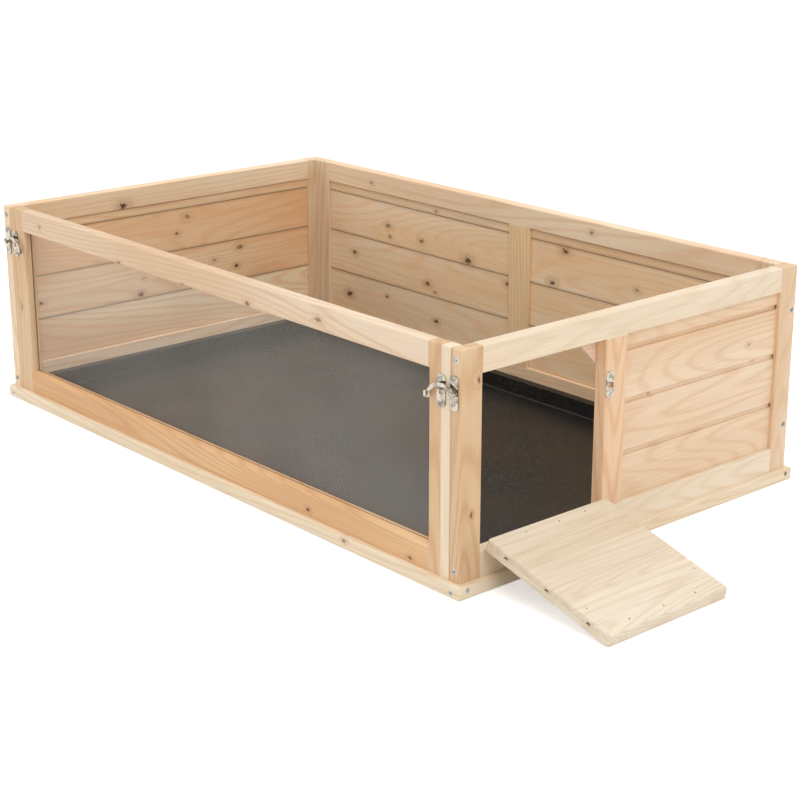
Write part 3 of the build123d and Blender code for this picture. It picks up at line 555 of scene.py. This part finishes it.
def studio_paper():
    """Matt white sweep that shows as near white and keeps the shadow."""
    material, tree, shader, place = new_material(
        "studio_paper", Roughness=0.9, Emission_Color=(1, 1, 1, 1))
    tooth = add_node(tree, NOISE, {"Vector": place, "Scale": 60.0})
    first, second = (linear(code) for code in PAPER)
    colour = add_node(tree, MIX, {0: tooth, 6: first, 7: second}, **COLOUR)
    tree.links.new(colour.outputs[MIXED], shader.inputs["Base Color"])
    path = add_node(tree, "ShaderNodeLightPath").outputs
    seen = add_node(tree, MATH, {0: path["Is Camera Ray"], 1: path["Is Glossy Ray"]},
                    operation="MAXIMUM")
    seen = add_node(tree, MATH, {0: seen, 1: path["Is Transmission Ray"]}, operation="MAXIMUM")
    glow = add_node(tree, MATH, {0: seen, 1: FLOOR_GLOW}, operation="MULTIPLY")
    tree.links.new(glow.outputs[0], shader.inputs["Emission Strength"])
    return material


def finish_node(name, material):
    """Give one CAD sub-part its finish."""
    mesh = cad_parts[name].data
    mesh.materials.clear()
    mesh.materials.append(material)


# Settings


class TimberSettings(bpy.types.PropertyGroup):
    stray_knots: FloatProperty(
        name="Stray knots", description="Share of places in the boards that have a pin knot",
        default=0.10, min=0, max=1, subtype="FACTOR")
    plywood_pale: StringProperty(
        name="Plywood, pale", description="Pale colour of the floor panel", default="#E3C79C")
    plywood_warm: StringProperty(
        name="Plywood, warm", description="Warm colour of the floor panel", default="#CFA873")


class TraySettings(bpy.types.PropertyGroup):
    plastic: StringProperty(
        name="Plastic", description="Colour of the tray", default="#0E0D0C")
    dust: StringProperty(
        name="Dust", description="Colour of the dust in its grain", default="#4E4E4A")
    veil: FloatProperty(
        name="Veil", description="How much the pane hides what is behind it",
        default=0.088, min=0, max=1, subtype="FACTOR")


class MetalSettings(bpy.types.PropertyGroup):
    plating: StringProperty(
        name="Latches", description="Colour of the latches", default="#BDB6A9")
    hinge: StringProperty(
        name="Hinges", description="Colour of the hinges", default="#C9C3B4")
    screw: StringProperty(
        name="Screws", description="Colour of the wood screws", default="#B9BAB6")
    brad: StringProperty(
        name="Brads", description="Colour of the ramp's brads", default="#BBAF98")
    roughness: FloatProperty(
        name="Roughness", description="Roughness of the latches' plating",
        default=0.17, min=0, max=1, subtype="FACTOR")


class BradSettings(bpy.types.PropertyGroup):
    radius: FloatProperty(
        name="Head radius", description="Radius of a brad's head",
        default=1.0 * MM, unit="LENGTH")
    height: FloatProperty(
        name="Head height", description="Height of a brad's head",
        default=0.5 * MM, unit="LENGTH")
    facets: IntProperty(
        name="Facets", description="Sides of a brad's head", default=20, min=8, max=48)


class StudioSettings(bpy.types.PropertyGroup):
    azimuth: FloatProperty(
        name="Azimuth", description="Camera's turn from the front",
        default=math.radians(48.946), subtype="ANGLE")
    elevation: FloatProperty(
        name="Elevation", description="Camera's height angle",
        default=math.radians(18.196), subtype="ANGLE")
    distance: FloatProperty(
        name="Distance", description="Camera's distance from its target",
        default=2.554, unit="LENGTH")
    target: FloatVectorProperty(
        name="Target", description="Point that the camera looks at",
        default=(0.0548, 0.0, 0.0644), subtype="XYZ")
    lens: FloatProperty(
        name="Lens", description="Focal length in millimetres", default=82.88)
    key: FloatProperty(
        name="Key light", description="Power of the key light", default=102.0, unit="POWER")
    world: FloatProperty(
        name="World", description="Strength of the world's light", default=0.56)


# Operators


class ENCLOSURE_OT_timber(bpy.types.Operator):
    """Finish the posts, stiles, rails, boards, ramp, base ring and floor panel"""
    bl_idname = "enclosure.timber"
    bl_label = "Timber"

    def execute(self, context):
        look = context.scene.enclosure_timber
        for seed, (name, (grain, tones)) in enumerate(TIMBER.items(), start=2):
            options = {"seed": float(seed), "knots": KNOTS.get(name, NO_KNOTS)}
            if name in WALL_BOARDS:
                options["boards"] = ("Z", FIRST_CHANNEL, BOARD_PITCH)
                options["wall"] = WALL_BOARDS[name]
                options["stray"] = look.stray_knots
                options["lines"] = BOARD_GROWTH_LINES
            if name == "door_boards":
                options["boards"] = ("X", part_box(name)[0][0], BOARD_PITCH)
                options["lines"] = BOARD_GROWTH_LINES
            # Painted highlight on the rounded edge of this stile
            if name == "front_stile_right":
                options["sap"] = ("X", HIGHLIGHT_EDGE)
            finish_node(name, planed_fir(f"planed_fir_{name}", grain, tones, **options))
        tones = (look.plywood_pale, look.plywood_warm)
        plywood = planed_fir("sanded_plywood", "X", tones, PLYWOOD_SEED)
        finish_node("floor_panel", plywood)
        return {"FINISHED"}


class ENCLOSURE_OT_tray_and_pane(bpy.types.Operator):
    """Finish the tray and the clear pane"""
    bl_idname = "enclosure.tray_and_pane"
    bl_label = "Tray and pane"

    def execute(self, context):
        look = context.scene.enclosure_tray
        finish_node("tray", moulded_tray_plastic(look.plastic, look.dust))
        finish_node("window_pane", clear_acrylic(look.veil))
        return {"FINISHED"}


class ENCLOSURE_OT_metalwork(bpy.types.Operator):
    """Finish the latches, hinges and screws"""
    bl_idname = "enclosure.metalwork"
    bl_label = "Metalwork"

    def execute(self, context):
        look = context.scene.enclosure_metal
        nickel = plated_metal("nickel_plated_steel", look.plating, NICKEL_CLOUD_AND_REFLECTION, look.roughness)
        hinge = plated_metal("zinc_plated_hinge_steel", look.hinge, HINGE_CLOUD, HINGE_ROUGHNESS)
        zinc = plated_metal("zinc_plated_screw_steel", look.screw, SCREW_CLOUD, SCREW_ROUGHNESS)
        for names, material in ((LATCH_METAL, nickel), (HINGE_METAL, hinge), (SCREWS, zinc)):
            for name in names:
                finish_node(name, material)
        return {"FINISHED"}


def ramp_place(down, across):
    """Point on the ramp's walking face, in millimetres from its hinge edge and front edge."""
    slope = Vector((math.cos(RAMP_TILT), 0, -math.sin(RAMP_TILT)))
    rise = Vector((math.sin(RAMP_TILT), 0, math.cos(RAMP_TILT)))
    corner = Vector((HINGE_X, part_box("door_batten_front")[0][1], HINGE_Z))
    return corner + rise * RAMP_THICKNESS + slope * down * MM + Vector((0, across * MM, 0))


def select_faces(piece, wanted):
    """Enter edit mode with the wanted faces of a piece selected."""
    bpy.ops.object.mode_set(mode="EDIT")
    bpy.ops.mesh.select_mode(type="FACE")
    bpy.ops.mesh.select_all(action="DESELECT")
    bpy.ops.object.mode_set(mode="OBJECT")
    for face in piece.data.polygons:
        face.select = wanted(face)
    bpy.ops.object.mode_set(mode="EDIT")


class ENCLOSURE_OT_ramp_brads(bpy.types.Operator):
    """Make the heads of the brads that hold the ramp's boards"""
    bl_idname = "enclosure.ramp_brads"
    bl_label = "Ramp brads"

    def execute(self, context):
        look = context.scene.enclosure_brads
        bpy.ops.object.select_all(action="DESELECT")
        bpy.ops.mesh.primitive_cylinder_add(
            vertices=look.facets, radius=look.radius, depth=look.height, location=(0, 0, 0))
        head = context.active_object

        select_faces(head, lambda face: face.normal.z > 0.9)
        for inset, rise in (BRAD_CROWN, BRAD_DIMPLE):
            bpy.ops.mesh.inset(thickness=look.radius * inset)
            bpy.ops.transform.translate(value=(0, 0, look.height * rise))
        bpy.ops.object.mode_set(mode="OBJECT")
        bpy.ops.object.shade_smooth_by_angle(angle=SMOOTH_ANGLE)

        heads = []
        for down, across in RAMP_BRADS:
            copy = head.copy()
            copy.data = head.data.copy()
            context.scene.collection.objects.link(copy)
            copy.location = ramp_place(down, across)
            copy.rotation_euler = (0, RAMP_TILT, 0)
            heads.append(copy)
        bpy.data.objects.remove(head)
        bpy.ops.object.select_all(action="DESELECT")
        for copy in heads:
            copy.select_set(True)
        context.view_layer.objects.active = heads[0]
        bpy.ops.object.join()
        brads = context.active_object
        brads.name = "ramp_brads"
        bpy.ops.object.transform_apply(location=True, rotation=True, scale=True)
        colour = context.scene.enclosure_metal.brad
        steel = plated_metal("bright_brad_steel", colour, BRAD_CLOUD, BRAD_ROUGHNESS)
        brads.data.materials.append(steel)
        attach(brads, "ramp")
        return {"FINISHED"}


class ENCLOSURE_OT_studio(bpy.types.Operator):
    """Set the floor, lamps, world and camera"""
    bl_idname = "enclosure.studio"
    bl_label = "Studio"

    def execute(self, context):
        look = context.scene.enclosure_studio
        scene = context.scene
        bpy.ops.object.select_all(action="DESELECT")
        bpy.ops.mesh.primitive_plane_add(size=FLOOR_SIZE, location=(0, 0, -FLOOR_DROP))
        floor = context.active_object
        floor.name = "studio_floor"
        floor.data.materials.append(studio_paper())

        target = Vector(look.target)
        turn, rise = look.azimuth, look.elevation
        back = Vector((math.sin(turn) * math.cos(rise), -math.cos(turn) * math.cos(rise),
                       math.sin(rise)))
        data = bpy.data.cameras.new("photo_camera")
        data.lens = look.lens
        data.sensor_width = SENSOR_WIDTH
        data.clip_end = CLIP_END
        camera = bpy.data.objects.new("photo_camera", data)
        scene.collection.objects.link(camera)
        camera.location = target + back * look.distance
        camera.rotation_euler = (-back).to_track_quat("-Z", "Y").to_euler()
        scene.camera = camera

        for name, place, size, share in LAMPS:
            lamp = bpy.data.lights.new(name, "AREA")
            lamp.shape = "DISK"
            lamp.size = size
            lamp.energy = look.key * share
            holder = bpy.data.objects.new(name, lamp)
            scene.collection.objects.link(holder)
            holder.location = place
            holder.rotation_euler = (-Vector(place)).to_track_quat("-Z", "Y").to_euler()

        # What the camera sees of the world is white; the object is lit by less
        world = bpy.data.worlds.new("studio_world")
        world.use_nodes = True
        scene.world = world
        tree = world.node_tree
        tree.nodes.clear()
        path = add_node(tree, "ShaderNodeLightPath").outputs
        seen = add_node(tree, MATH, {0: path["Is Camera Ray"], 1: path["Is Transmission Ray"]},
                        operation="MAXIMUM")
        strength = add_node(tree, MATH, {0: seen, 1: 1.0 - look.world, 2: look.world},
                            operation="MULTIPLY_ADD")
        light = add_node(tree, "ShaderNodeBackground",
                         {"Color": (1, 1, 1, 1), "Strength": strength})
        add_node(tree, "ShaderNodeOutputWorld", {"Surface": light})
        scene.view_settings.view_transform = "Standard"
        return {"FINISHED"}


class ENCLOSURE_PT_panel(bpy.types.Panel):
    """Lists the steps that dress the enclosure"""
    bl_idname = "ENCLOSURE_PT_panel"
    bl_label = "Rabbit enclosure"
    bl_space_type = "VIEW_3D"
    bl_region_type = "UI"
    bl_category = "Enclosure"

    def draw(self, context):
        layout = self.layout
        for operator in OPERATORS:
            layout.operator(operator.bl_idname)
        for holder, group in SETTINGS:
            box = layout.box()
            for name in group.__annotations__:
                box.prop(getattr(context.scene, holder), name)


OPERATORS = (
    ENCLOSURE_OT_studio, ENCLOSURE_OT_timber, ENCLOSURE_OT_tray_and_pane,
    ENCLOSURE_OT_metalwork, ENCLOSURE_OT_ramp_brads,
)
SETTINGS = (
    ("enclosure_timber", TimberSettings), ("enclosure_tray", TraySettings),
    ("enclosure_metal", MetalSettings), ("enclosure_brads", BradSettings),
    ("enclosure_studio", StudioSettings),
)


def register():
    for name, group in SETTINGS:
        bpy.utils.register_class(group)
        setattr(bpy.types.Scene, name, PointerProperty(type=group))
    for operator in OPERATORS:
        bpy.utils.register_class(operator)
    bpy.utils.register_class(ENCLOSURE_PT_panel)


def unregister():
    bpy.utils.unregister_class(ENCLOSURE_PT_panel)
    for operator in reversed(OPERATORS):
        bpy.utils.unregister_class(operator)
    for name, group in reversed(SETTINGS):
        delattr(bpy.types.Scene, name)
        bpy.utils.unregister_class(group)


def main():
    register()
    bpy.ops.enclosure.studio()
    bpy.ops.enclosure.timber()
    bpy.ops.enclosure.tray_and_pane()
    bpy.ops.enclosure.metalwork()
    bpy.ops.enclosure.ramp_brads()


if __name__ == "__main__":
    main()
